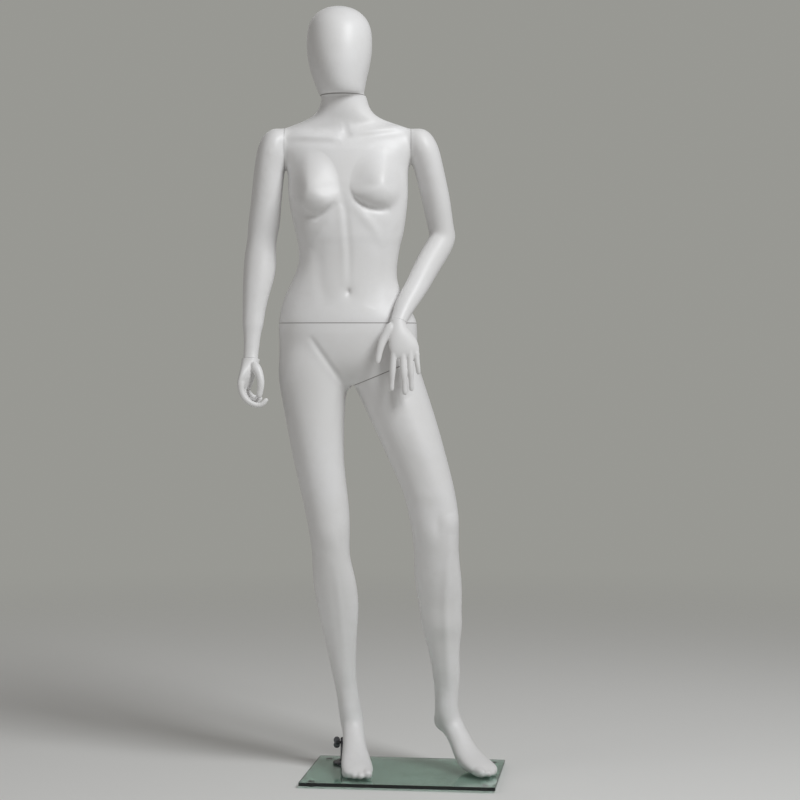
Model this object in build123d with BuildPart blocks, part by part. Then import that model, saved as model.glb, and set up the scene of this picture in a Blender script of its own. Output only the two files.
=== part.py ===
# Full body display mannequin: a standing female figure with a plain egg head, made as closed
# fibreglass sections that come apart at the neck, shoulders, wrists, waist and left hip.
# The right heel stands on a steel rod that a wing screw clamps in a flange on a glass base.
#
# Row frame: millimetres, +Z up, origin on the floor under the middle of the glass base.
# Figure frame: the same origin and height, turned FIGURE_TURN about Z. Its x runs to the
# figure's left, its y to the figure's back. The tables of stations below are in that frame.

from build123d import *
from math import cos, radians, sin
import os

os.makedirs("parts", exist_ok=True)

# ---------------------------------------------------------------- driving dimensions

FIGURE_TURN = 6.9  # degrees that the figure is turned on its rod, against the glass

# Glass base
GLASS_LENGTH = 440
GLASS_DEPTH = 310
GLASS_THICKNESS = 8
GLASS_CORNER = 4
GLASS_ARRIS = 0.8
PAD_DIAMETER = 16
PAD_HEIGHT = 4.5
PAD_INSET = 26

# Rod, flange and clamp
ROD_DIAMETER = 12
ROD_X = -135  # figure frame
ROD_Y = 86
ROD_TOP = 172
FLANGE_DIAMETER = 62
FLANGE_THICKNESS = 5
COLLAR_DIAMETER = 27
COLLAR_FOOT_DIAMETER = 38
COLLAR_HEIGHT = 60
GASKET_THICKNESS = 1
WASHER_DIAMETER = 44
WASHER_THICKNESS = 1.5
BOLT_DIAMETER = 8
BOLT_HEAD_DIAMETER = 16
BOLT_HEAD_HEIGHT = 1.6
BOLT_REACH = 12  # thread of the bolt above the glass
WING_SCREW_DIAMETER = 6
WING_SPAN = 26
WING_THICKNESS = 3.5
SOCKET_TUBE_WALL = 1.5
TUBE_CAP = 2
ROD_FIT = 0.4  # gap around the rod in its tube and collar
WING_SCREW_HEIGHT = 49  # above the glass
WING_HUB_DIAMETER = 10
WING_HUB_LENGTH = 9
WING_HUB_INSET = 1.5
WING_LOBE_DIAMETER = 15

SEAM_GAP = 0.6  # dark line between two sections of the figure

# Heights above the floor
GLASS_TOP = PAD_HEIGHT + GLASS_THICKNESS
SOLE = GLASS_TOP + 0.3
HEEL_LIFT = 72
WAIST_SEAM = 1037
NECK_SEAM = 1557

# Seams, figure frame
RIGHT_SHOULDER_SEAM = -274
LEFT_SHOULDER_SEAM = 15
SHOULDER_Y = 6
SHOULDER_HEIGHT = 1440
WAIST_X = -129.5
WAIST_Y = 6
NECK_X = -138
NECK_Y = 5
HIP_SEAM_X = -113
HIP_SEAM_HEIGHT = 896
HIP_SEAM_TILT = 22.7
CROTCH_RELIEF = 8  # room beside the crotch for the leg to twist
HIP_JOINT_X = -44
HIP_JOINT_Y = 8

# Twist-lock fittings: (plate radius, stud radius, lug reach, screws, screw circle radius)
WAIST_FITTING = (46, 11, 21, 3, 34)
HIP_FITTING = (38, 10, 19, 3, 29)
NECK_FITTING = (27, 7, 13, 2, 20)
SHOULDER_FITTING = (29, 8, 15, 2, 22)
WRIST_FITTING = (12.5, 3, 5.2, 2, 9)
PLATE_THICKNESS = 2.5
PLATE_FIT = 0.3
STUD_FIT = 0.4
LUG_THICKNESS = 3
LUG_POCKET_DEPTH = 5
SCREW_RADIUS = 1.5
SCREW_HEAD_RADIUS = 2.9
SCREW_LENGTH = 10
SCREW_FIT = 0.15
SCREW_ANGLE = 45

OUTLINE_POINTS = 12
DOME_ANGLES = (40, 72)  # rings that round off a finger or toe

# ---------------------------------------------------------------- stations of the figure
# Horizontal sections: (z, centre x, centre y, half width, front, back, fullness).
# Fullness 2 is an ellipse, more is squarer.

TORSO = [
    (1030, -129.5, 4, 157.6, 94, 106, 2.25),
    (1040, -129.8, 4, 157, 94, 106, 2.25),
    (1067, -133.5, 4, 148.8, 91, 100, 2.2),
    (1095, -137.2, 4, 137, 87, 92, 2.2),
    (1125, -137, 2.5, 123.5, 84, 85, 2.2),
    (1155, -132.5, 1, 115.2, 82, 80, 2.2),
    (1192, -127, 0, 113.5, 82, 81, 2.2),
    (1230, -125.2, 0, 120, 85, 86, 2.2),
    (1270, -126, 2, 128.2, 87, 93, 2.3),
    (1312, -128, 4, 134.8, 86, 99, 2.35),
    (1355, -129, 5.5, 137, 82.5, 103, 2.35),
    (1395, -129.7, 7.5, 139.8, 77, 103, 2.33),
    (1430, -130, 9, 153, 71, 100, 2.2),
    (1456, -130, 10, 162, 62, 94, 2.1),
    (1472, -131, 10, 157, 54, 85, 2.03),
    (1485, -132.3, 9, 137, 47.5, 74, 2),
    (1497, -134.4, 8, 103, 46, 67, 2),
    (1511, -136.3, 6, 73.5, 48.5, 61.5, 2),
    (1530, -137.2, 5, 58, 51, 59, 2),
    (1557, -138, 4, 51, 53, 58, 2),
    (1566, -138, 4, 50.5, 53, 58, 2),
]

PELVIS = [
    (1044, -129.5, 4, 157.4, 94, 106, 2.25),
    (1037, -129.5, 4, 157.5, 94, 106, 2.25),
    (1010, -128.5, 5, 158, 96, 110, 2.25),
    (980, -128, 7, 158, 95, 115, 2.25),
    (955, -127.5, 8, 155, 90, 116, 2.25),
    (930, -127.5, 8, 140, 78, 108, 2.2),
    (910, -128, 8, 104, 60, 86, 2.1),
    (897, -128.5, 6, 52, 38, 54, 2),
    (889, -128.5, 6, 14, 14, 18, 2),
]

RIGHT_LEG = [
    (1010, -205, 6, 72, 76, 98, 2.1),
    (965, -207, 6, 77, 85, 113, 2.12),
    (915, -209.5, 6.5, 78, 87, 112, 2.12),
    (860, -207, 4.5, 71.8, 82, 93, 2.08),
    (790, -202, 1, 63.8, 77, 80, 2.06),
    (715, -194, -3.5, 56.5, 70.5, 70, 2.05),
    (640, -181, -8, 52, 63.5, 59.5, 2.05),
    (580, -172.5, -11, 48, 58, 50, 2.08),
    (545, -170, -11.5, 44.8, 56, 45, 2.12),
    (513, -168.3, -6.5, 42.3, 51.3, 45, 2.1),
    (470, -163.3, 5.5, 46.7, 46, 53, 2.05),
    (425, -157, 17.5, 49.3, 43.5, 59.5, 2),
    (375, -151.8, 30, 46.3, 40.5, 56, 2),
    (325, -148, 41, 39.3, 36.3, 46, 2),
    (270, -143.3, 52, 32.2, 32, 38, 2),
    (220, -138.5, 60, 27.3, 30.7, 35.6, 2),
    (180, -131.5, 66, 25.1, 33.5, 37, 2),
    (145, -126.3, 69.5, 26, 40, 37.5, 2),
    (118, -124, 70, 24, 38, 32, 2),
    (104, -124, 68, 18, 28, 24, 2),
]

LEFT_LEG = [
    (990, -64, 6, 76, 76, 100, 2.1),
    (950, -52, 6, 80, 86, 114, 2.12),
    (905, -37, 4, 80.5, 87, 108, 2.12),
    (855, -17.5, -0.5, 77.4, 84, 91, 2.1),
    (800, 4, -6, 73, 80, 81, 2.07),
    (740, 26, -13, 67.5, 74.5, 72.5, 2.05),
    (680, 47.5, -20, 61.7, 68, 63.5, 2.05),
    (625, 63, -26.5, 57.4, 61.5, 55.5, 2.07),
    (585, 68.8, -30, 55.3, 59, 50, 2.1),
    (550, 71.6, -30, 52, 57, 45, 2.13),
    (515, 73, -22.5, 50.8, 50.5, 47, 2.1),
    (470, 75.5, -7.5, 53.3, 47, 56.5, 2.05),
    (415, 80.8, 8.5, 51.6, 43.5, 60, 2),
    (360, 84.8, 22.5, 47.8, 40.3, 54.5, 2),
    (307, 89, 36, 40.8, 36, 45, 2),
    (255, 94.5, 48, 33.7, 32, 38, 2),
    (205, 98.2, 58.5, 29.9, 31.3, 36, 2),
    (165, 98.2, 67, 26.8, 36, 38, 2),
    (138, 98, 69, 26.5, 38, 37, 2),
    (116, 97, 69, 23, 34, 32, 2),
    (104, 97, 68, 17, 26, 24, 2),
]

RIGHT_ARM = [
    (1482, -290, 8, 13, 18, 18, 2),
    (1476, -291, 8, 23, 31, 30, 2),
    (1460, -294.5, 8, 32.5, 44, 43, 2),
    (1435, -300.5, 8, 36, 50, 48.5, 2),
    (1390, -309, 10, 35, 48.5, 47, 2),
    (1345, -314, 12, 34.8, 44.8, 44, 2),
    (1290, -319.5, 15.5, 35.7, 40.3, 40.5, 2),
    (1235, -326, 18, 34, 36.5, 37.5, 2),
    (1195, -330, 15.5, 35.8, 37.5, 36.5, 2),
    (1158, -331.8, 9, 36.7, 37, 35.5, 2),
    (1115, -337, -1, 32.3, 33, 32.5, 2),
    (1065, -343, -12, 26.2, 26.7, 27.5, 2),
    (1010, -346.3, -25, 22.3, 21, 22.3, 2),
    (964, -348.5, -35, 20.6, 18, 18.5, 2.1),
    (946, -349, -39, 20.8, 17, 17.5, 2.1),
]

LEFT_UPPER_ARM = [
    (1482, 31, 8, 13, 18, 18, 2),
    (1476, 32, 8, 23, 31, 30, 2),
    (1460, 36, 8.3, 32.5, 44, 43, 2),
    (1435, 43.5, 9.5, 36, 50, 48, 2),
    (1390, 56.5, 15, 34, 47, 46, 2),
    (1345, 67.5, 23, 33, 43, 43, 2),
    (1290, 78.5, 34, 31.2, 38.5, 39.5, 2),
    (1250, 86, 43, 29.5, 35, 37, 2),
    (1222, 89.5, 45.5, 25, 29, 31, 2),
]

# Sections square to a path: (x, y, z, half width, half depth).
LEFT_FOREARM = [
    (97, 60, 1256, 20, 24),
    (90.5, 46, 1237, 28, 32),
    (75, 29, 1206, 29.5, 33),
    (47.3, -5, 1158, 28, 31),
    (23, -42, 1112, 25.8, 26.5),
    (-3.2, -78.5, 1066, 22, 20.5),
    (-12, -93, 1044, 19, 17.5),
    (-17, -101, 1032, 18.5, 16.5),
]

# Egg head: (z, centre x, centre y, half width, front, back, fullness)
HEAD = [
    (1552, -143.5, -6, 46, 56, 52, 2),
    (1558, -144, -6, 49.5, 63, 57, 2),
    (1566, -144.5, -6, 53, 70, 62, 2),
    (1577, -145.5, -5, 56, 77, 70, 2),
    (1593, -147, -4, 60.5, 83, 80, 2),
    (1612, -148, -3, 66, 88, 89, 2),
    (1630, -148.3, -2, 70, 91, 95, 2),
    (1648, -148.5, -1, 73, 92, 98, 2),
    (1667, -148.5, 0, 74.5, 92, 99, 2),
    (1685, -148.5, 1, 74.5, 90, 98, 2),
    (1703, -148.5, 2, 73, 86, 94, 2),
    (1721, -149, 3, 68.5, 79, 87, 2),
    (1736, -149.5, 4, 60, 68, 76, 2),
    (1748, -150, 5, 48, 54, 61, 2),
    (1757, -150.5, 6, 32, 36, 41, 2),
    (1762, -150.5, 6, 14, 16, 18, 2),
]
HEAD_TOP = 1763.5

# ---------------------------------------------------------------- helpers

figure = Plane.XY.rotated((0, 0, FIGURE_TURN))


def outline(half_width, front, back, fullness=2):
    # Closed curve around (0, 0). All have the same spline parameters, so that lofts stay light.
    points = []
    for step in range(OUTLINE_POINTS):
        angle = radians(360 * step / OUTLINE_POINTS)
        across = cos(angle)
        deep = sin(angle)
        half_depth = back if deep > 0 else front
        x = half_width * abs(across) ** (2 / fullness) * (1 if across > 0 else -1)
        y = half_depth * abs(deep) ** (2 / fullness) * (1 if deep > 0 else -1)
        points.append(Vector(x, y))
    spacing = [step / OUTLINE_POINTS for step in range(OUTLINE_POINTS + 1)]
    add(Edge.make_spline(points, periodic=True, parameters=spacing))


def section(plane, x, y, half_width, front, back, fullness=2):
    # One closed face on the plane, centred on its point (x, y).
    middle = Plane(plane.from_local_coords((x, y, 0)), plane.x_dir, plane.z_dir)
    with BuildSketch(middle) as face:
        with BuildLine():
            outline(half_width, front, back, fullness)
        make_face()
    return face.sketch


def stack(stations):
    # Loft through horizontal sections in the figure frame.
    sections = []
    for z, *shape in stations:
        sections.append(section(figure.offset(z), *shape))
    loft(sections)


def square_planes(path, across):
    # A plane square to the path at each of its points, with x along the width given.
    planes = []
    for step, point in enumerate(path):
        before = path[max(step - 1, 0)]
        after = path[min(step + 1, len(path) - 1)]
        along = figure.from_local_coords(after) - figure.from_local_coords(before)
        planes.append(Plane(figure.from_local_coords(point), figure.from_local_coords(across), along))
    return planes


def limb(stations, across):
    # Loft along a bent path; each station is (x, y, z, half width, half depth).
    path = [Vector(*station[:3]) for station in stations]
    sections = []
    for plane, (*_, half_width, half_depth) in zip(square_planes(path, across), stations):
        sections.append(section(plane, 0, 0, half_width, half_depth, half_depth))
    loft(sections)


def digit(stations):
    # Finger or toe: round sections (x, y, z, radius) with a dome at each end.
    path = [Vector(*station[:3]) for station in stations]
    radii = [station[3] for station in stations]
    root_way = (path[0] - path[1]).normalized()
    tip_way = (path[-1] - path[-2]).normalized()
    rings = list(zip(path, radii))
    for angle in DOME_ANGLES:
        rise = sin(radians(angle))
        shrink = cos(radians(angle))
        rings.insert(0, (path[0] + root_way * (radii[0] * rise), radii[0] * shrink))
        rings.append((path[-1] + tip_way * (radii[-1] * rise), radii[-1] * shrink))
    planes = square_planes([point for point, _ in rings], Vector(1, 0, 0))
    sections = []
    for plane, (_, radius) in zip(planes, rings):
        with BuildSketch(plane) as ring:
            Circle(radius)
        sections.append(ring.sketch)
    loft(sections)


# ---------------------------------------------------------------- feet

# Sections square to the foot: (distance from the heel's back, half width, bottom, top).
FOOT = [
    (0, 11, 83, 106),
    (5, 18, 77, 118),
    (18, 25, 73.5, 130),
    (38, 27, 71.5, 134),
    (58, 26.5, 62, 129),
    (78, 26.5, 46, 112),
    (98, 27.5, 26, 92),
    (118, 30, 9, 71),
    (138, 33, 1.8, 54),
    (158, 35, 0.5, 43),
    (178, 35.5, 0.5, 35),
    (194, 34, 0.8, 29),
    (206, 29, 2, 23),
    (213, 20, 5, 18),
    (216, 10, 8, 14),
]
# Toes from big to little: (across from the foot's middle, start, tip, radius).
TOES = [
    (20, 186, 226, 10.5),
    (3.5, 186, 227, 7.8),
    (-9, 183, 221, 7.2),
    (-19.5, 177, 212, 6.8),
    (-28, 169, 202, 6.6),
]
FOOT_SHAPE = 2.1
TOE_REST = 0.5  # height of the toes above the sole
# Heel x, heel y, degrees turned out, side of the big toe (1 is the figure's left)
RIGHT_FOOT = (-125, 117, 6, 1)
LEFT_FOOT = (80, 115, 31, -1)


def foot(heel_x, heel_y, turn, inner_side):
    # Raised foot; inner_side is 1 where the big toe lies toward the figure's left.
    forward = Vector(sin(radians(turn)), -cos(radians(turn)), 0)
    across = Vector(cos(radians(turn)), sin(radians(turn)), 0)
    heel = Vector(heel_x, heel_y, SOLE)
    sections = []
    for distance, half_width, bottom, top in FOOT:
        middle = heel + forward * distance + Vector(0, 0, (bottom + top) / 2)
        origin = figure.from_local_coords(middle)
        plane = Plane(origin, figure.from_local_coords(across), figure.from_local_coords(forward))
        half_height = (top - bottom) / 2
        sections.append(section(plane, 0, 0, half_width, half_height, half_height, FOOT_SHAPE))
    loft(sections)
    for offset, start, tip, radius in TOES:
        root = heel + forward * start + across * (offset * inner_side) + Vector(0, 0, TOE_REST + radius * 1.25)
        end = heel + forward * (tip - radius) + across * (offset * inner_side) + Vector(0, 0, TOE_REST + radius)
        digit([(*root, radius * 1.05), (*end, radius)])


# ---------------------------------------------------------------- hands

ACROSS_LEFT_HAND = Vector(1, 0.12, 0)
LEFT_PALM = [
    (-11.5, -92, 1048, 18, 17),
    (-14.5, -100, 1034, 18.5, 16),
    (-13, -106, 1021, 21.5, 14.5),
    (-8.5, -111, 1005, 27.5, 14),
    (-3, -114, 989, 32, 13),
    (1, -116, 975, 32.5, 11.5),
    (2, -117, 964, 30, 9),
    (2.5, -117.5, 958, 26, 6),
]
LEFT_FINGERS = [
    [(-30, -106, 1026, 12), (-44, -112, 1005, 10), (-55, -117, 977, 8), (-60, -119, 951, 6.2)],
    [(-21.5, -116, 984, 8.2), (-25, -121, 950, 7), (-27.3, -122, 918, 6.3), (-29, -119, 889, 5.2)],
    [(-3.5, -117, 982, 8.2), (-3, -123, 945, 7.2), (-1, -124, 911, 6.4), (0.7, -121, 881, 5.2)],
    [(12, -116, 978, 8), (13, -122, 943, 7), (14.5, -122, 915, 6.2), (15.5, -119, 889, 5)],
    [(25.5, -113, 972, 7.2), (28, -117, 952, 6.2), (30, -118, 937, 5.6), (31.5, -116, 926, 4.8)],
]

ACROSS_RIGHT_HAND = Vector(0.35, 1, 0)
RIGHT_PALM = [
    (-348.3, -35.5, 963, 18.3, 20.5),
    (-349.5, -38.5, 950, 19, 20.3),
    (-351.5, -42, 938, 23, 18.5),
    (-354.5, -45.5, 925, 29.5, 16),
    (-358.5, -48.5, 911, 34, 13.5),
    (-362, -50, 899, 34, 11.5),
    (-363, -51, 889, 31, 9),
]
RIGHT_FINGERS = [
    [(-337, -60, 938, 11), (-327, -69, 919, 9.4), (-323.5, -74, 896, 7.8), (-327, -74, 873, 6.2)],
    [(-368, -73, 905, 8), (-367.5, -76, 886, 7.4), (-356, -78, 864, 6.8), (-338, -78, 853, 6.2),
     (-322, -77, 853, 5.6), (-311.5, -76, 863, 5)],
    [(-366, -56, 903, 8), (-364, -58, 880, 7.4), (-352, -59, 861, 6.8), (-337, -59, 856, 6.2),
     (-326, -58, 866, 5.4)],
    [(-363, -39, 903, 8), (-361, -39, 880, 7.2), (-350, -39, 863, 6.6), (-337, -39, 861, 6),
     (-329, -39, 873, 5.2)],
    [(-358, -23, 903, 7.4), (-357, -22, 886, 6.4), (-348, -21, 871, 5.8), (-337, -21, 868, 5.2),
     (-330, -21, 876, 4.6)],
]
ACROSS_FOREARM = Vector(1, -0.3, 0)

# Breasts: domes along a forward axis, (x, y, z, half width, half height).
RIGHT_BREAST = [
    (-196, -40, 1352, 56, 76),
    (-199, -66, 1345, 54, 68),
    (-204, -84, 1338, 48, 56),
    (-209.5, -98, 1333, 38.5, 42),
    (-213, -106, 1331, 28, 29),
    (-215.5, -111.5, 1330.5, 14, 14),
    (-216.3, -113.5, 1330.3, 5, 5),
]
LEFT_BREAST = [
    (-82, -40, 1362, 54, 76),
    (-77.5, -66, 1355, 52, 67),
    (-70.5, -83, 1348.5, 46, 54),
    (-62.5, -96, 1344, 36.5, 40),
    (-57, -103.5, 1342.5, 26, 27),
    (-53, -108.5, 1342, 13, 13),
    (-51.5, -110.5, 1342, 5, 5),
]

# ---------------------------------------------------------------- seams and seats

def seat(x, y, z, outward, across=(1, 0, 0)):
    # Plane on a seam, with z pointing from the socket side to the stud side.
    origin = figure.from_local_coords((x, y, z))
    direction = figure.from_local_coords(outward)
    return Plane(origin, figure.from_local_coords(across), direction)


def facing(joint):
    # The same seam seen from the stud side, with z pointing back to the socket side.
    return Plane(joint.origin, joint.x_dir, -joint.z_dir)


hip_slope = radians(HIP_SEAM_TILT)
hip_joint_height = HIP_SEAM_HEIGHT + (HIP_JOINT_X - HIP_SEAM_X) * sin(hip_slope) / cos(hip_slope)
waist_seat = seat(WAIST_X, WAIST_Y, WAIST_SEAM, (0, 0, -1))
neck_seat = seat(NECK_X, NECK_Y, NECK_SEAM, (0, 0, -1))
right_shoulder_seat = seat(RIGHT_SHOULDER_SEAM, SHOULDER_Y, SHOULDER_HEIGHT, (-1, 0, 0), (0, 1, 0))
left_shoulder_seat = seat(LEFT_SHOULDER_SEAM, SHOULDER_Y, SHOULDER_HEIGHT, (1, 0, 0), (0, 1, 0))
right_wrist_seat = seat(-349, -37.5, 955, (-0.04, -0.22, -0.97))
left_wrist_seat = seat(-13.5, -96.5, 1040, (-0.25, -0.42, -0.87))
hip_seat = seat(HIP_JOINT_X, HIP_JOINT_Y, hip_joint_height, (sin(hip_slope), 0, -cos(hip_slope)))


def keep_behind(plane, gap=SEAM_GAP / 2):
    # Cuts the part in the block off at the plane, less the gap, and keeps what lies behind it.
    split(bisect_by=plane.offset(-gap), keep=Keep.BOTTOM)


def recess(face, fitting, pocket=False):
    # Sinks the plate, its screws and, on the socket side, the room for the lugs.
    radius, _, lug_reach, count, circle = fitting
    with BuildSketch(face) as mouth:
        Circle(radius + PLATE_FIT)
    extrude(mouth.sketch, amount=-SEAM_GAP / 2 - PLATE_THICKNESS, mode=Mode.SUBTRACT)
    with BuildSketch(face) as holes:
        with PolarLocations(circle, count, start_angle=SCREW_ANGLE):
            Circle(SCREW_RADIUS + SCREW_FIT)
    extrude(holes.sketch, amount=-SEAM_GAP - SCREW_LENGTH, mode=Mode.SUBTRACT)
    if pocket:
        with BuildSketch(face) as room:
            Circle(lug_reach + 2 * STUD_FIT)
        depth = SEAM_GAP / 2 + PLATE_THICKNESS + LUG_POCKET_DEPTH
        extrude(room.sketch, amount=-depth, mode=Mode.SUBTRACT)


def plate(face, fitting):
    # Round steel plate, flush with the face, with countersunk holes.
    radius, _, _, count, circle = fitting
    outside = face.offset(-SEAM_GAP / 2)
    with BuildSketch(outside) as disc:
        Circle(radius)
    extrude(disc.sketch, amount=-PLATE_THICKNESS)
    with Locations(outside):
        with PolarLocations(circle, count, start_angle=SCREW_ANGLE):
            CounterSinkHole(SCREW_RADIUS + SCREW_FIT, SCREW_HEAD_RADIUS + SCREW_FIT)


def socket_plate(joint, fitting):
    # Plate with a keyhole: a round bore and a slot that lets the lugs in a quarter turn away.
    _, stud, lug_reach, _, _ = fitting
    plate(joint, fitting)
    with BuildSketch(joint) as keyhole:
        Circle(stud + STUD_FIT)
        Rectangle(2 * stud + 2 * STUD_FIT - 2, 2 * lug_reach + 2 * STUD_FIT)
    extrude(keyhole.sketch, amount=-SEAM_GAP - PLATE_THICKNESS, mode=Mode.SUBTRACT)


def stud_plate(joint, fitting):
    # Plate with a stud whose two lugs lock behind the socket plate.
    _, stud, lug_reach, _, _ = fitting
    face = facing(joint)
    plate(face, fitting)
    neck = SEAM_GAP / 2 + PLATE_THICKNESS + STUD_FIT
    with BuildSketch(face.offset(-SEAM_GAP / 2)) as shank:
        Circle(stud)
    extrude(shank.sketch, amount=SEAM_GAP / 2 + neck + LUG_THICKNESS)
    with BuildSketch(face.offset(neck)) as lugs:
        SlotOverall(2 * lug_reach, 2 * stud - 2)
    extrude(lugs.sketch, amount=LUG_THICKNESS)


COUNTERSINK_DEPTH = SCREW_HEAD_RADIUS - SCREW_RADIUS

with BuildPart() as plate_screw:
    with BuildSketch(Plane.XZ):
        with BuildLine():
            Polyline(
                (0, 0),
                (SCREW_HEAD_RADIUS, 0),
                (SCREW_RADIUS, -COUNTERSINK_DEPTH),
                (SCREW_RADIUS, 1 - SCREW_LENGTH),
                (0, -SCREW_LENGTH),
                close=True,
            )
        make_face()
    revolve(axis=Axis.Z)


def screws(face, fitting):
    _, _, _, count, circle = fitting
    with Locations(face.offset(-SEAM_GAP / 2 - SCREW_FIT)):
        with PolarLocations(circle, count, start_angle=SCREW_ANGLE):
            add(plate_screw.part)


def finish(part, name):
    part.label = name
    export_step(part, f"parts/{name}.step")


# ---------------------------------------------------------------- sections of the figure

REACH = 400  # larger than any section of the figure
SHOULDER_ZONE_FLOOR = 1375  # the shoulder seams cut nothing below this height
THIGH_SPLIT = 740  # the lower body needs nothing of the left thigh below this height
slope_rise = sin(hip_slope) / cos(hip_slope)


def leg_wedge(side_gap, seam_gap):
    # Profile of the room for the left leg, below the sloping seam and beside the crotch.
    x = HIP_SEAM_X - side_gap
    z = HIP_SEAM_HEIGHT - side_gap * slope_rise + seam_gap / cos(hip_slope)
    with BuildSketch(Plane(figure.origin, figure.x_dir, -figure.y_dir)) as wedge:
        with BuildLine():
            Polyline((x, z), (x + REACH, z + REACH * slope_rise), (x + REACH, -1), (x, -1), close=True)
        make_face()
    return wedge.sketch


def keep_above(height):
    split(bisect_by=figure.offset(height), keep=Keep.TOP)


def keep_below(height):
    split(bisect_by=figure.offset(height), keep=Keep.BOTTOM)


def shoulder_zone(x, side):
    # Solid room beyond a shoulder seam; side is 1 toward the figure's left.
    corner = figure.from_local_coords((x + side * REACH / 2, 0, SHOULDER_ZONE_FLOOR + REACH / 2))
    with BuildPart(Plane(corner, figure.x_dir, figure.z_dir)) as zone:
        Box(REACH, REACH, REACH)
    return zone.part


with BuildPart(figure.offset(SHOULDER_ZONE_FLOOR + REACH / 2)) as shoulder_height_room:
    Box(3 * REACH, REACH, REACH)


def breasts():
    for stations in (RIGHT_BREAST, LEFT_BREAST):
        limb(stations, Vector(1, 0, 0))


# Outer forms that several sections share

with BuildPart() as torso_form:
    stack(TORSO)

with BuildPart() as pelvis_form:
    stack(PELVIS)

with BuildPart() as right_arm_form:
    stack(RIGHT_ARM)

with BuildPart() as left_upper_arm_form:
    stack(LEFT_UPPER_ARM)

with BuildPart() as left_leg_form:
    stack(LEFT_LEG)

# Upper torso with the neck

with BuildPart() as upper_torso:
    add(right_arm_form.part)
    add(left_upper_arm_form.part)
    add(shoulder_height_room.part, mode=Mode.INTERSECT)
    add(torso_form.part)
    add(shoulder_zone(RIGHT_SHOULDER_SEAM + SEAM_GAP / 2, -1), mode=Mode.SUBTRACT)
    add(shoulder_zone(LEFT_SHOULDER_SEAM - SEAM_GAP / 2, 1), mode=Mode.SUBTRACT)
    breasts()
    keep_below(NECK_SEAM - SEAM_GAP / 2)
    keep_above(WAIST_SEAM + SEAM_GAP / 2)
    recess(waist_seat, WAIST_FITTING, pocket=True)
    recess(facing(neck_seat), NECK_FITTING)
    recess(right_shoulder_seat, SHOULDER_FITTING, pocket=True)
    recess(left_shoulder_seat, SHOULDER_FITTING, pocket=True)
finish(upper_torso.part, "upper_torso")

# Head

with BuildPart() as head:
    stack(HEAD)
    keep_above(NECK_SEAM + SEAM_GAP / 2)
    recess(neck_seat, NECK_FITTING, pocket=True)
finish(head.part, "head")

# Arms

with BuildPart() as right_arm:
    add(torso_form.part)
    add(shoulder_zone(RIGHT_SHOULDER_SEAM - SEAM_GAP / 2, -1), mode=Mode.INTERSECT)
    add(right_arm_form.part)
    keep_behind(facing(right_shoulder_seat))
    keep_behind(right_wrist_seat)
    recess(facing(right_shoulder_seat), SHOULDER_FITTING)
    recess(right_wrist_seat, WRIST_FITTING, pocket=True)
finish(right_arm.part, "right_arm")

with BuildPart() as left_arm:
    add(torso_form.part)
    add(shoulder_zone(LEFT_SHOULDER_SEAM + SEAM_GAP / 2, 1), mode=Mode.INTERSECT)
    add(left_upper_arm_form.part)
    keep_behind(facing(left_shoulder_seat))
    limb(LEFT_FOREARM, ACROSS_FOREARM)
    keep_behind(left_wrist_seat)
    recess(facing(left_shoulder_seat), SHOULDER_FITTING)
    recess(left_wrist_seat, WRIST_FITTING, pocket=True)
finish(left_arm.part, "left_arm")

# Hands

with BuildPart() as right_hand:
    limb(RIGHT_PALM, ACROSS_RIGHT_HAND)
    for finger in RIGHT_FINGERS:
        digit(finger)
    keep_behind(facing(right_wrist_seat))
    recess(facing(right_wrist_seat), WRIST_FITTING)
finish(right_hand.part, "right_hand")

with BuildPart() as left_hand:
    limb(LEFT_PALM, ACROSS_LEFT_HAND)
    for finger in LEFT_FINGERS:
        digit(finger)
    keep_behind(facing(left_wrist_seat))
    recess(facing(left_wrist_seat), WRIST_FITTING)
finish(left_hand.part, "left_hand")

# Lower body: pelvis and right leg in one section, with the tube for the rod cast in its heel

tube_radius = ROD_DIAMETER / 2 + ROD_FIT + SOCKET_TUBE_WALL
tube_top = ROD_TOP + ROD_FIT + TUBE_CAP
rod_foot = figure.from_local_coords((ROD_X, ROD_Y, 0))

with BuildPart() as lower_body:
    add(left_leg_form.part)
    keep_above(THIGH_SPLIT)
    add(pelvis_form.part)
    extrude(leg_wedge(CROTCH_RELIEF, SEAM_GAP / 2), amount=REACH, both=True, mode=Mode.SUBTRACT)
    stack(RIGHT_LEG)
    foot(*RIGHT_FOOT)
    keep_below(WAIST_SEAM - SEAM_GAP / 2)
    with BuildSketch(Plane.XY.offset(SOLE)) as bore:
        with Locations((rod_foot.X, rod_foot.Y)):
            Circle(tube_radius + SCREW_FIT)
    extrude(bore.sketch, amount=tube_top - SOLE, mode=Mode.SUBTRACT)
    recess(facing(waist_seat), WAIST_FITTING)
    recess(hip_seat, HIP_FITTING, pocket=True)
finish(lower_body.part, "lower_body")

# Left leg

with BuildPart() as left_leg:
    add(left_leg_form.part)
    add(pelvis_form.part)
    extrude(leg_wedge(-SEAM_GAP / 2, -SEAM_GAP / 2), amount=REACH, both=True, mode=Mode.INTERSECT)
    foot(*LEFT_FOOT)
    recess(facing(hip_seat), HIP_FITTING)
finish(left_leg.part, "left_leg")

# ---------------------------------------------------------------- twist-lock fittings

joints = {
    "waist": (waist_seat, WAIST_FITTING),
    "neck": (neck_seat, NECK_FITTING),
    "right_shoulder": (right_shoulder_seat, SHOULDER_FITTING),
    "left_shoulder": (left_shoulder_seat, SHOULDER_FITTING),
    "right_wrist": (right_wrist_seat, WRIST_FITTING),
    "left_wrist": (left_wrist_seat, WRIST_FITTING),
    "hip": (hip_seat, HIP_FITTING),
}
for place, (joint, fitting) in joints.items():
    with BuildPart() as socket:
        socket_plate(joint, fitting)
    finish(socket.part, f"{place}_socket_plate")
    with BuildPart() as stud:
        stud_plate(joint, fitting)
    finish(stud.part, f"{place}_stud_plate")

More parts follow.
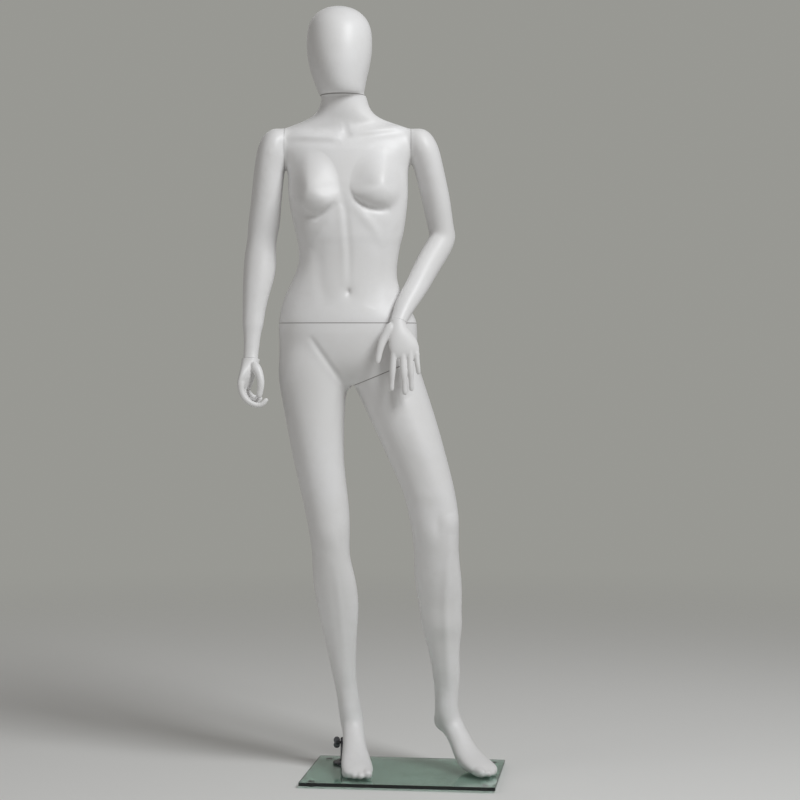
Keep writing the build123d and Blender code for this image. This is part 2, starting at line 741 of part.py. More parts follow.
# Each body's screws: the socket sides and the stud sides that it carries
screw_groups = {
    "torso_screws": (("waist", "right_shoulder", "left_shoulder"), ("neck",)),
    "head_screws": (("neck",), ()),
    "lower_body_screws": (("hip",), ("waist",)),
    "left_leg_screws": ((), ("hip",)),
    "right_arm_screws": (("right_wrist",), ("right_shoulder",)),
    "left_arm_screws": (("left_wrist",), ("left_shoulder",)),
    "right_hand_screws": ((), ("right_wrist",)),
    "left_hand_screws": ((), ("left_wrist",)),
}
for name, (sockets, studs) in screw_groups.items():
    with BuildPart() as group:
        for place in sockets:
            screws(*joints[place])
        for place in studs:
            joint, fitting = joints[place]
            screws(facing(joint), fitting)
    finish(group.part, name)

# ---------------------------------------------------------------- base

with BuildPart() as glass_base:
    with BuildSketch(Plane.XY.offset(PAD_HEIGHT)):
        RectangleRounded(GLASS_LENGTH, GLASS_DEPTH, GLASS_CORNER)
        with Locations((rod_foot.X, rod_foot.Y)):
            Circle(BOLT_DIAMETER / 2 + 1, mode=Mode.SUBTRACT)
    extrude(amount=GLASS_THICKNESS)
    rims = glass_base.faces().filter_by(Axis.Z).sort_by(Axis.Z)
    chamfer([rims[0].outer_wire().edges(), rims[-1].outer_wire().edges()], GLASS_ARRIS)
finish(glass_base.part, "glass_base")

with BuildPart() as base_pads:
    with BuildSketch():
        with GridLocations(GLASS_LENGTH - 2 * PAD_INSET, GLASS_DEPTH - 2 * PAD_INSET, 2, 2):
            Circle(PAD_DIAMETER / 2)
    extrude(amount=PAD_HEIGHT)
    chamfer(base_pads.faces().sort_by(Axis.Z)[:4].edges(), 1)
finish(base_pads.part, "base_pads")


def washer(diameter, bottom, thickness):
    # Flat ring around the bolt.
    with BuildSketch(Plane.XY.offset(bottom)) as ring:
        with Locations((rod_foot.X, rod_foot.Y)):
            Circle(diameter / 2)
            Circle(BOLT_DIAMETER / 2 + ROD_FIT / 2, mode=Mode.SUBTRACT)
    extrude(ring.sketch, amount=thickness)


with BuildPart() as upper_gasket:
    washer(FLANGE_DIAMETER - 2, GLASS_TOP, GASKET_THICKNESS)
finish(upper_gasket.part, "upper_gasket")

with BuildPart() as lower_gasket:
    washer(WASHER_DIAMETER, PAD_HEIGHT - GASKET_THICKNESS, GASKET_THICKNESS)
finish(lower_gasket.part, "lower_gasket")

washer_bottom = PAD_HEIGHT - GASKET_THICKNESS - WASHER_THICKNESS
with BuildPart() as clamp_washer:
    washer(WASHER_DIAMETER - 2, washer_bottom, WASHER_THICKNESS)
finish(clamp_washer.part, "clamp_washer")

with BuildPart() as flange_bolt:
    with BuildSketch(Plane.XY.offset(washer_bottom - BOLT_HEAD_HEIGHT)):
        with Locations((rod_foot.X, rod_foot.Y)):
            Circle(BOLT_HEAD_DIAMETER / 2)
    extrude(amount=BOLT_HEAD_HEIGHT)
    with BuildSketch(Plane.XY.offset(washer_bottom)):
        with Locations((rod_foot.X, rod_foot.Y)):
            Circle(BOLT_DIAMETER / 2)
    extrude(amount=GLASS_TOP + BOLT_REACH - washer_bottom)
finish(flange_bolt.part, "flange_bolt")

flange_bottom = GLASS_TOP + GASKET_THICKNESS
collar_top = GLASS_TOP + COLLAR_HEIGHT
rod_seat_height = GLASS_TOP + BOLT_REACH + 3
clamp_height = GLASS_TOP + WING_SCREW_HEIGHT
clamp_plane = Plane(
    figure.from_local_coords((ROD_X, ROD_Y, clamp_height)), figure.z_dir, -figure.x_dir
)

with BuildPart() as base_flange:
    with BuildSketch(Plane(rod_foot, figure.x_dir, -figure.y_dir)):
        with BuildLine():
            rim = FLANGE_DIAMETER / 2
            top = flange_bottom + FLANGE_THICKNESS
            Polyline(
                (BOLT_DIAMETER / 2, flange_bottom),
                (rim, flange_bottom),
                (rim, top - 2),
                (rim - 3, top),
                (COLLAR_FOOT_DIAMETER / 2, top),
            )
            Spline(
                (COLLAR_FOOT_DIAMETER / 2, top),
                (COLLAR_DIAMETER / 2, top + COLLAR_FOOT_DIAMETER / 2),
                tangents=[(-1, 0.35), (0, 1)],
            )
            Polyline(
                (COLLAR_DIAMETER / 2, top + COLLAR_FOOT_DIAMETER / 2),
                (COLLAR_DIAMETER / 2, collar_top - 1),
                (COLLAR_DIAMETER / 2 - 1, collar_top),
                (ROD_DIAMETER / 2 + ROD_FIT, collar_top),
                (ROD_DIAMETER / 2 + ROD_FIT, rod_seat_height),
                (BOLT_DIAMETER / 2, rod_seat_height),
                (BOLT_DIAMETER / 2, flange_bottom),
            )
        make_face()
    revolve(axis=Axis(rod_foot, (0, 0, 1)))
    with BuildSketch(clamp_plane):
        Circle(WING_SCREW_DIAMETER / 2 + ROD_FIT / 2)
    extrude(amount=COLLAR_DIAMETER, mode=Mode.SUBTRACT)
finish(base_flange.part, "base_flange")

with BuildPart() as foot_rod:
    with BuildSketch(Plane.XY.offset(rod_seat_height)):
        with Locations((rod_foot.X, rod_foot.Y)):
            Circle(ROD_DIAMETER / 2)
    extrude(amount=ROD_TOP - rod_seat_height)
    chamfer(foot_rod.faces().sort_by(Axis.Z)[-1].edges(), 1)
finish(foot_rod.part, "foot_rod")

with BuildPart() as wing_screw:
    tip = ROD_DIAMETER / 2 + ROD_FIT / 2
    head_start = COLLAR_DIAMETER / 2 + 1
    with BuildSketch(clamp_plane.offset(tip)):
        Circle(WING_SCREW_DIAMETER / 2)
    extrude(amount=head_start - tip)
    with BuildSketch(clamp_plane.offset(head_start)):
        Circle(WING_HUB_DIAMETER / 2)
    extrude(amount=WING_HUB_LENGTH)
    wing_start = head_start + WING_HUB_LENGTH - WING_HUB_INSET
    wing_reach = (WING_SPAN - WING_LOBE_DIAMETER) / 2
    with BuildSketch(Plane(clamp_plane.origin, -figure.x_dir, figure.y_dir)) as wings:
        with Locations((wing_start, wing_reach), (wing_start, -wing_reach)):
            Circle(WING_LOBE_DIAMETER / 2)
    extrude(wings.sketch, amount=WING_THICKNESS / 2, both=True)
finish(wing_screw.part, "wing_screw")

with BuildPart() as ankle_tube:
    with BuildSketch(Plane.XY.offset(SOLE + HEEL_LIFT)):
        with Locations((rod_foot.X, rod_foot.Y)):
            Circle(tube_radius)
    extrude(amount=tube_top - SOLE - HEEL_LIFT)
    with BuildSketch(Plane.XY.offset(SOLE + HEEL_LIFT)) as inside:
        with Locations((rod_foot.X, rod_foot.Y)):
            Circle(ROD_DIAMETER / 2 + ROD_FIT)
    extrude(inside.sketch, amount=ROD_TOP + ROD_FIT - SOLE - HEEL_LIFT, mode=Mode.SUBTRACT)
finish(ankle_tube.part, "ankle_tube")
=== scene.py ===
import math
import bpy
import numpy as np
from mathutils import Matrix, Vector


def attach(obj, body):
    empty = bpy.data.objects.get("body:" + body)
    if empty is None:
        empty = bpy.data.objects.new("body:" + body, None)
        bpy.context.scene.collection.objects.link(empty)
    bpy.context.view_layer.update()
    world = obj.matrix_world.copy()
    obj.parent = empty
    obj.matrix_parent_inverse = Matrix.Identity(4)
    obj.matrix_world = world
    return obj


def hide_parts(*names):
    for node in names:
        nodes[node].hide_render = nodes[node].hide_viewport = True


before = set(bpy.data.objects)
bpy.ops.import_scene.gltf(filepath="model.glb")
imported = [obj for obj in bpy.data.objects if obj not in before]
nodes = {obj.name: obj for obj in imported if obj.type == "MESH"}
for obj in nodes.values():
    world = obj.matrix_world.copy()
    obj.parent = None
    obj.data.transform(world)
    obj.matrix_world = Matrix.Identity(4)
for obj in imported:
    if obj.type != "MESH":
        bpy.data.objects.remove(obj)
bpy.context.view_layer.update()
scene = bpy.context.scene
print("frame loaded:", len(nodes), "nodes")

# The figure stands turned on its base. Its own frame: x to its left hand, y to its back, millimetres.
figure = {
    "turnDegrees": 6.9,
    "kerf": 0.6,
    "plugSpare": 1.5,
    "plugHalf": 15,
    "pocketSpare": 0.6,
    "pocketHalf": 8.6,
    "leastPoints": 1500,
    "smoothAngle": 45,
}
figureMatrix = Matrix.Rotation(math.radians(figure["turnDegrees"]), 4, "Z") @ Matrix.Scale(0.001, 4)
figureBack = figureMatrix.inverted()

# Front view: eye in the figure's frame, and the picture's scale, middle, size and shift in its own units.
view = {
    "eye": (-10, -4805, 1003),
    "scale": 2100,
    "middle": (400, 338),
    "size": 800,
    "shift": -62,
    "sensor": 36,
}

# Where the sections part: point, direction, plate radius, how far the seam's painted shade reaches and how
# dark that painted shade shows.
seams = {
    "waist": {"point": (-129.5, 6, 1037), "way": (0, 0, -1), "plate": 46, "reach": 190, "dark": 1.0},
    "neck": {"point": (-138, 5, 1557), "way": (0, 0, -1), "plate": 27, "reach": 90, "dark": 0.8},
    "rightShoulder": {"point": (-274, 6, 1440), "way": (-1, 0, 0), "plate": 29, "reach": 75, "dark": 0.1},
    "leftShoulder": {"point": (15, 6, 1440), "way": (1, 0, 0), "plate": 29, "reach": 75, "dark": 0.35},
    "rightWrist": {
        "point": (-349, -37.5, 955), "way": (-0.04, -0.22, -0.97), "plate": 12.5, "reach": 40, "dark": 0.15,
    },
    "leftWrist": {
        "point": (-13.5, -96.5, 1040), "way": (-0.25, -0.42, -0.87), "plate": 12.5, "reach": 40, "dark": 0.15,
    },
    "hip": {
        "point": (-44, 8, 924.9), "way": (0.38591, 0, -0.92254), "plate": 38, "reach": 107, "dark": 1.0,
        "shadeAt": (-29, 6, 931.2),
    },
}
# painted shade: a dark line along each seam that stands in for the shade inside the narrow saw gap
gapShadePaint = {"width": 0.0014, "colour": (0.16, 0.14, 0.125, 1)}


# ---- small helpers

def deselectAll():
    if bpy.context.object and bpy.context.object.mode != "OBJECT":
        bpy.ops.object.mode_set(mode="OBJECT")
    bpy.ops.object.select_all(action="DESELECT")


def pick(*pieces):
    deselectAll()
    for piece in pieces:
        piece.select_set(True)
    bpy.context.view_layer.objects.active = pieces[0]


def nodeCopy(nodeName, pieceName):
    # a copy with its own merged mesh; the node itself is left alone
    mesh = nodes[nodeName].data.copy()
    mesh.materials.clear()
    piece = bpy.data.objects.new(pieceName, mesh)
    scene.collection.objects.link(piece)
    pick(piece)
    bpy.ops.object.mode_set(mode="EDIT")
    bpy.ops.mesh.select_all(action="SELECT")
    bpy.ops.mesh.remove_doubles(threshold=0.00001)
    bpy.ops.object.mode_set(mode="OBJECT")
    return piece


def joined(pieces, name):
    pick(*pieces)
    bpy.ops.object.join()
    whole = bpy.context.object
    whole.name = name
    whole.data.name = name
    return whole


def seamMatrix(seam):
    # local z runs along the seam's direction
    way = Vector(seam["way"]).normalized()
    turn = way.to_track_quat("Z", "Y").to_matrix().to_4x4()
    return figureMatrix @ Matrix.Translation(Vector(seam["point"])) @ turn


def cylinderAt(seam, radius, halfLength, name):
    deselectAll()
    bpy.ops.mesh.primitive_cylinder_add(vertices=72, radius=radius, depth=2 * halfLength)
    piece = bpy.context.object
    piece.name = name
    piece.data.transform(seamMatrix(seam))
    return piece


def slabAt(seam, halfWidth, name):
    # a round saw cut square to the seam's direction
    deselectAll()
    bpy.ops.mesh.primitive_cylinder_add(vertices=48, radius=halfWidth, depth=figure["kerf"])
    piece = bpy.context.object
    piece.name = name
    piece.data.transform(seamMatrix(seam))
    return piece


def boxBetween(low, high, name):
    deselectAll()
    bpy.ops.mesh.primitive_cube_add(size=1)
    piece = bpy.context.object
    piece.name = name
    low = Vector(low)
    high = Vector(high)
    size = high - low
    piece.data.transform(figureMatrix @ Matrix.Translation((low + high) / 2) @ Matrix.Diagonal((*size, 1)))
    return piece


def applyModifier(piece, kind, **values):
    pick(piece)
    modifier = piece.modifiers.new(kind.lower(), kind)
    for name, value in values.items():
        setattr(modifier, name, value)
    bpy.ops.object.modifier_apply(modifier=modifier.name)


def keepAhead(piece, spot, ahead):
    # cuts a blank and keeps what lies ahead of the cut
    pick(piece)
    bpy.ops.object.mode_set(mode="EDIT")
    bpy.ops.mesh.select_all(action="SELECT")
    bpy.ops.mesh.bisect(plane_co=spot, plane_no=ahead, use_fill=True, clear_inner=True)
    bpy.ops.object.mode_set(mode="OBJECT")
    return piece


def looseParts(whole):
    pick(whole)
    bpy.ops.object.mode_set(mode="EDIT")
    bpy.ops.mesh.select_all(action="SELECT")
    bpy.ops.mesh.separate(type="LOOSE")
    bpy.ops.object.mode_set(mode="OBJECT")
    return list(bpy.context.selected_objects)


def remesh(piece, voxel):
    applyModifier(piece, "REMESH", mode="VOXEL", voxel_size=voxel, use_smooth_shade=True)


def cutAway(piece, cutter):
    before = len(piece.data.polygons)
    applyModifier(piece, "BOOLEAN", operation="DIFFERENCE", object=cutter, solver="MANIFOLD")
    if len(piece.data.polygons) in (0, before):
        print("cut by", cutter.name, "left", piece.name, "as it was")
    bpy.data.objects.remove(cutter)


def placesOf(piece):
    # vertices in the figure's own frame
    flat = np.empty(len(piece.data.vertices) * 3)
    piece.data.vertices.foreach_get("co", flat)
    turn = np.array(figureBack.to_3x3())
    return flat.reshape(-1, 3) @ turn.T


def normalsOf(piece):
    # their normals there; the frame's scale is taken out again
    flat = np.empty(len(piece.data.vertices) * 3, np.float32)
    piece.data.vertex_normals.foreach_get("vector", flat)
    turn = np.array(figureBack.to_3x3())
    return flat.reshape(-1, 3).astype(float) @ (turn.T * 0.001)


def putBack(piece, places):
    turn = np.array(figureMatrix.to_3x3())
    piece.data.vertices.foreach_set("co", (places @ turn.T).ravel())
    piece.data.update()


def ramp(values, start, end):
    # 0 before start, 1 after end, smooth between
    share = np.clip((values - start) / (end - start), 0, 1)
    return share * share * (3 - 2 * share)


def band(values, low, lowFull, highFull, high):
    # 1 between the two middle values, 0 outside the outer ones
    return ramp(values, low, lowFull) * (1 - ramp(values, highFull, high))


def paintGroup(piece, name, weights):
    group = piece.vertex_groups.new(name=name)
    level = np.round(weights * 10).astype(int)
    for step in range(1, 11):
        chosen = np.nonzero(level == step)[0]
        if len(chosen):
            group.add(chosen.tolist(), step / 10, "REPLACE")


def smoothed(piece, passes, weights=None, keepSize=True):
    # relaxes the surface, then pushes it back out by what the pass took off
    places = placesOf(piece)
    if weights is None:
        weights = np.ones(len(places))
    if weights.max() < 0.05:
        return
    paintGroup(piece, "relax", weights)
    applyModifier(piece, "SMOOTH", iterations=passes, factor=0.5, vertex_group="relax")
    piece.vertex_groups.clear()
    if keepSize:
        after = placesOf(piece)
        normals = normalsOf(piece)
        lost = ((places - after) * normals).sum(1)
        inside = weights > 0.5
        if inside.any():
            after += normals * (weights * np.median(lost[inside]))[:, None]
            putBack(piece, after)


def pathDistance(places, path):
    # distance in front view (x, z) from a run of points, and the share along it
    best = np.full(len(places), 1e9)
    share = np.zeros(len(places))
    flat = places[:, [0, 2]]
    spans = len(path) - 1
    for step in range(spans):
        start = np.array(path[step], float)
        run = np.array(path[step + 1], float) - start
        along = np.clip(((flat - start) @ run) / (run @ run), 0, 1)
        gap = np.linalg.norm(flat - start - along[:, None] * run, axis=1)
        nearer = gap < best
        best[nearer] = gap[nearer]
        share[nearer] = (step + along[nearer]) / spans
    return best, share


def seen(px, py, depth):
    # figure x and z of a place drawn on the front view
    eyeX, eyeY, eyeZ = view["eye"]
    middleX, middleY = view["middle"]
    scale = (depth - eyeY) / view["scale"]
    return ((px - middleX) * scale + eyeX, eyeZ - (py - middleY) * scale)


def line(places, normals, side, path, width, rise, fade):
    # a soft ridge (rise above 0) or groove (below 0) along a path, on the front (-1) or the back (1)
    near, share = pathDistance(places, path)
    ends = np.clip(np.minimum(share, 1 - share) / fade, 0, 1)
    facing = ramp(normals[:, 1] * side, 0.05, 0.45)
    places += normals * (rise * np.exp(-(near / width) ** 2) * facing * np.sqrt(ends))[:, None]


def bump(places, normals, side, centre, radii, rise):
    # a soft swelling or hollow in front view, on the front (-1) or the back (1)
    across = (places[:, 0] - centre[0]) / radii[0]
    up = (places[:, 2] - centre[1]) / radii[1]
    near = np.sqrt(across ** 2 + up ** 2)
    facing = ramp(normals[:, 1] * side, 0.0, 0.4)
    places += normals * (rise * np.exp(-near ** 2) * facing)[:, None]


# ---- whole figure, shaped before it is sawn into its sections

bodyShape = {
    "voxel": 0.0030,
    "overallPasses": 14,
    "hipPasses": 220,
    "chestPasses": 9,
    "flankPasses": 45,
    "jointPasses": 80,
    "anklePasses": 200,
    "kneePasses": 130,
    "legPasses": 24,
    "skinPasses": 2,
}

# Heights between which a stretch is smoothed: it starts, is full, is full still and ends.
bodyBands = {
    "hips": (815, 880, 1010, 1035),
    "chest": (1205, 1250, 1410, 1450),
    "flank": (1215, 1255, 1400, 1430),
    "shoulders": (1370, 1400, 1500, 1530),
    "ankles": (48, 85, 190, 240),
    "calf": (225, 290, 640, 740),
    "legs": (150, 210, 760, 820),
}

# Where these stretches start and are full in the other directions.
bodyEdges = {
    "toes": (25, 95),
    "crotch": (885, 905),
    "chestFront": (15, 45),
    "flankSide": (88, 108),
    "flankFront": (-20, 10),
    "calfSide": (-20, 0),
    "shoulderFront": (40, 60),
    "rightHand": (-948, -935),
    "leftHand": (-1030, -1015),
}

# Spots that are kept or smoothed alone.
bodySpots = {
    "rightHandLeftOf": -290,
    "leftHandRightOf": -60,
    "leftHandBefore": -60,
    "leftHandAbove": 700,
    "crotchX": -117,
    "crotchWidth": 16,
    "flankMiddle": -128,
    "flankBetween": (-285, 10),
    "elbow": (92, 1235),
    "elbowRadius": 45,
    "chestAbove": 1300,
    "chestLeftOf": -200,
    "legsBelow": 200,
}

# Legs: heights that are evened out, the line that parts them, the rows measured and how far each is spread.
legShape = {
    "span": (190, 760),
    "fades": (60, 80),
    "margin": 90,
    "partX": -100,
    "partHeight": 740,
    "partSlope": 0.2,
    "rowStep": 6.0,
    "rowSpread": 12,
    "spreadAcross": 22,
    "spreadDeep": 48,
}


def keepBeyond(piece, place, way):
    # the same cut, by a place and a direction in the figure's frame
    spot = figureMatrix @ Vector(place)
    ahead = (figureMatrix.to_3x3() @ Vector(way)).normalized()
    return keepAhead(piece, spot, ahead)


def plugs(*names):
    # fills the recesses of the fittings, so that the blank closes across the seams
    spare, half = figure["plugSpare"], figure["plugHalf"]
    return [cylinderAt(seams[name], seams[name]["plate"] + spare, half, name + "Plug") for name in names]


def blankFigure():
    copied = ("upper_torso", "head", "right_arm", "lower_body", "left_leg", "right_hand")
    pieces = [nodeCopy(name, name + "Blank") for name in copied]
    # the left forearm passes close to the waist, so here the arm ends below the shoulder
    pieces.append(keepBeyond(nodeCopy("left_arm", "leftShoulderBlank"), (0, 0, 1325), (0, 0, 1)))
    fillers = plugs("waist", "neck", "rightShoulder", "leftShoulder", "rightWrist", "hip")
    whole = joined(pieces + fillers, "wholeFigure")
    remesh(whole, bodyShape["voxel"])
    return whole


def blankLeftArm():
    # the arm with the stretches of torso and hand that its ends have to match
    torso = keepBeyond(nodeCopy("upper_torso", "leftTorsoBlank"), (0, 0, 1345), (0, 0, 1))
    torso = keepBeyond(torso, (-75, 0, 0), (1, 0, 0))
    pieces = [nodeCopy("left_arm", "leftArmBlank"), nodeCopy("left_hand", "leftHandBlank"), torso]
    whole = joined(pieces + plugs("leftShoulder", "leftWrist"), "wholeLeftArm")
    remesh(whole, bodyShape["voxel"])
    return whole


# Front of the chest without the bust: (height, middle x, middle y, half width, depth, fullness), millimetres.
chestShape = {
    "rows": [
        (1192, -127, 0, 113.5, 82, 2.2),
        (1230, -125.2, 0, 120, 85, 2.2),
        (1270, -126, 2, 128.2, 87, 2.3),
        (1312, -128, 4, 134.8, 86, 2.35),
        (1355, -129, 5.5, 137, 82.5, 2.35),
        (1395, -129.7, 7.5, 139.8, 77, 2.33),
        (1430, -130, 9, 153, 71, 2.2),
        (1456, -130, 10, 162, 62, 2.1),
    ],
    "reach": (1212, 1244, 1432, 1452),
    "sides": (0.91, 0.985),
    "front": (0.22, 0.4),
    "busts": [
        {"tip": (-217, 1335), "inner": 72, "outer": 44, "up": 98, "down": 56, "rise": 34, "innerSide": 1},
        {"tip": (-48, 1346), "inner": 76, "outer": 42, "up": 92, "down": 50, "rise": 32, "innerSide": -1},
    ],
}


def bustHeight(x, z, bust):
    # a long slope above the tip, a fuller round below it
    across = x - bust["tip"][0]
    up = z - bust["tip"][1]
    inner = across * bust["innerSide"] > 0
    u = across / np.where(inner, bust["inner"], bust["outer"])
    v = up / np.where(up > 0, bust["up"], bust["down"])
    near = np.sqrt(u * u + v * v)
    inside = np.clip(near, 0, 1)
    cone = np.clip(1.19 - np.sqrt(inside ** 2 + 0.036), 0, 1) ** 1.2
    slope = 0.6 * (1 - ramp(inside, 0, 1)) + 0.4 * cone
    full = (1 - inside ** 2.3) ** 0.8
    lower = ramp(-v / np.maximum(near, 1e-6), -0.25, 0.75)
    return bust["rise"] * (slope * (1 - lower) + full * lower)


def shapeChest(whole):
    places = placesOf(whole)
    x, y, z = places.T
    heights, *measures = np.array(chestShape["rows"]).T
    middleX, middleY, half, depth, fullness = (np.interp(z, heights, measure) for measure in measures)
    off = np.clip(np.abs(x - middleX) / half, 0, 1)
    base = middleY - depth * (1 - off ** fullness) ** (1 / fullness)
    weight = band(z, *chestShape["reach"]) * (1 - ramp(off, *chestShape["sides"]))
    shallow, deep = chestShape["front"]
    weight *= ramp(middleY - y, shallow * depth, deep * depth)
    right, left = (bustHeight(x, z, bust) for bust in chestShape["busts"])
    target = base - np.maximum(right, left)
    places[:, 1] = y + (target - y) * weight
    putBack(whole, places)


def spreadRow(row, heights, reach):
    # a row of measures, each averaged with its neighbours; a straight line keeps the ends in place
    gap = (heights[:, None] - heights[None, :]) / reach
    share = np.exp(-0.5 * gap ** 2)
    share /= share.sum(1)[:, None]
    rise = (heights - heights[0]) / (heights[-1] - heights[0])
    level = row[0] + (row[-1] - row[0]) * rise
    return level + share @ (row - level)


def evenLegs(whole):
    # evens out how the middle and the width of each leg change with height
    places = placesOf(whole)
    x, y, z = places.T
    low, high = legShape["span"]
    lowFade, highFade = legShape["fades"]
    margin = legShape["margin"]
    parting = legShape["partX"] + legShape["partSlope"] * (legShape["partHeight"] - z)
    heights = np.arange(low - margin, high + margin, legShape["rowStep"])
    fade = band(z, low, low + lowFade, high - highFade, high)
    for inside in (x > parting, x < parting):
        sides = []
        for height in heights:
            near = inside & (np.abs(z - height) < legShape["rowStep"])
            sides.append((x[near].min(), x[near].max(), y[near].min(), y[near].max()))
        sides = np.array(sides)
        moved = places.copy()
        for axis, spread in ((0, legShape["spreadAcross"]), (1, legShape["spreadDeep"])):
            rows = []
            for reach in (legShape["rowSpread"], spread):
                for column in (2 * axis, 2 * axis + 1):
                    rows.append(np.interp(z, heights, spreadRow(sides[:, column], heights, reach)))
            oldLow, oldHigh, newLow, newHigh = rows
            along = (places[:, axis] - oldLow) / (oldHigh - oldLow)
            moved[:, axis] = newLow + along * (newHigh - newLow)
        places[inside] += (moved - places)[inside] * fade[inside, None]
    putBack(whole, places)


def relaxFigure(whole):
    x, y, z = placesOf(whole).T
    edges, spots = bodyEdges, bodySpots
    # the fingers and toes keep their shape
    rightHand = ramp(-z, *edges["rightHand"]) * (x < spots["rightHandLeftOf"])
    leftHand = ramp(-z, *edges["leftHand"]) * (x > spots["leftHandRightOf"])
    leftHand *= (y < spots["leftHandBefore"]) * (z > spots["leftHandAbove"])
    calm = ramp(z, *edges["toes"]) * (1 - np.clip(rightHand + leftHand, 0, 1))
    smoothed(whole, bodyShape["overallPasses"], calm)
    # the crotch keeps its hollow
    crotch = np.exp(-((x - spots["crotchX"]) / spots["crotchWidth"]) ** 2) * (1 - ramp(z, *edges["crotch"]))
    smoothed(whole, bodyShape["hipPasses"], band(z, *bodyBands["hips"]) * (1 - crotch))
    # only the whole figure has a chest; the left arm's blank has none
    if (z > spots["chestAbove"]).any() and (x < spots["chestLeftOf"]).any():
        shapeChest(whole)
    x, y, z = placesOf(whole).T
    smoothed(whole, bodyShape["chestPasses"], band(z, *bodyBands["chest"]) * ramp(-y, *edges["chestFront"]))
    low, high = spots["flankBetween"]
    flank = band(z, *bodyBands["flank"]) * ramp(np.abs(x - spots["flankMiddle"]), *edges["flankSide"])
    flank *= (x > low) * (x < high)
    smoothed(whole, bodyShape["flankPasses"], flank * ramp(-y, *edges["flankFront"]))
    smoothed(whole, bodyShape["anklePasses"], band(z, *bodyBands["ankles"]))
    smoothed(whole, bodyShape["kneePasses"], band(z, *bodyBands["calf"]) * ramp(x, *edges["calfSide"]))
    if z.min() < spots["legsBelow"]:
        evenLegs(whole)
        smoothed(whole, bodyShape["legPasses"], band(z, *bodyBands["legs"]))
    shoulders = band(z, *bodyBands["shoulders"]) * (1 - ramp(-y, *edges["shoulderFront"]))
    elbowX, elbowZ = spots["elbow"]
    radius = spots["elbowRadius"]
    elbow = np.exp(-(((x - elbowX) / radius) ** 2 + ((z - elbowZ) / radius) ** 2))
    smoothed(whole, bodyShape["jointPasses"], np.clip(shoulders + elbow, 0, 1))


# Lines and spots of the front, by their place in front view.
frontForms = {
    "rightCollarBone": [(286, 136.5), (300, 135.5), (318, 136.5), (333, 137.5), (341, 136)],
    "leftCollarBone": [(350, 134), (362, 131.5), (378, 129), (394, 126.5), (407, 125.5)],
    "midline": [(342, 192), (345.5, 214), (348.8, 250), (349, 286)],
    "rightFold": [(291, 193), (294.5, 204), (301, 212), (309, 216.5), (317, 217), (326, 211), (336, 202)],
    "leftFold": [(353, 197), (361, 204), (369, 208), (380, 210), (391, 209)],
    "rightRib": [(341, 205), (331, 216), (320, 230), (311, 247)],
    "leftRib": [(350, 203), (362, 214), (374, 228), (384, 247)],
    "rightFlank": [(318, 232), (317, 256), (320, 282), (327, 308)],
    "leftFlank": [(380, 232), (383, 256), (380, 282), (371, 308)],
    "rightGroin": [(309, 336), (320, 352), (332, 369), (343, 384)],
    "leftThigh": [(404, 400), (420, 440), (436, 478), (451, 512)],
    "leftShin": [(452, 536), (448, 570), (446, 610), (448, 660), (450, 700)],
    "navel": (348.5, 292),
    "notch": (345.5, 131.5),
}

# Lines of the back and the shin, by x and height in the figure's frame, millimetres.
figureLines = {
    "spine": [(-134, 1530), (-130, 1440), (-128, 1300), (-128, 1150), (-128, 1060)],
    "cleft": [(-128, 1030), (-127.5, 985), (-127, 930), (-126, 880)],
    "rightShin": [(-160, 500), (-146, 380), (-135, 220)],
}
front, back = -1, 1
backMiddle = -128


def figureRidge(side, path, width, rise, fade):
    return {"side": side, "path": path, "width": width, "rise": rise, "fade": fade}


def ridge(name, width, rise, fade, depth=-85, shift=(0, 0)):
    # the same by a named line of the front view
    path = [seen(px, py, depth) for px, py in frontForms[name]]
    path = [(x + shift[0], z + shift[1]) for x, z in path]
    return figureRidge(front, path, width, rise, fade)


def swelling(side, centre, radii, rise):
    return {"side": side, "centre": centre, "radii": radii, "rise": rise}


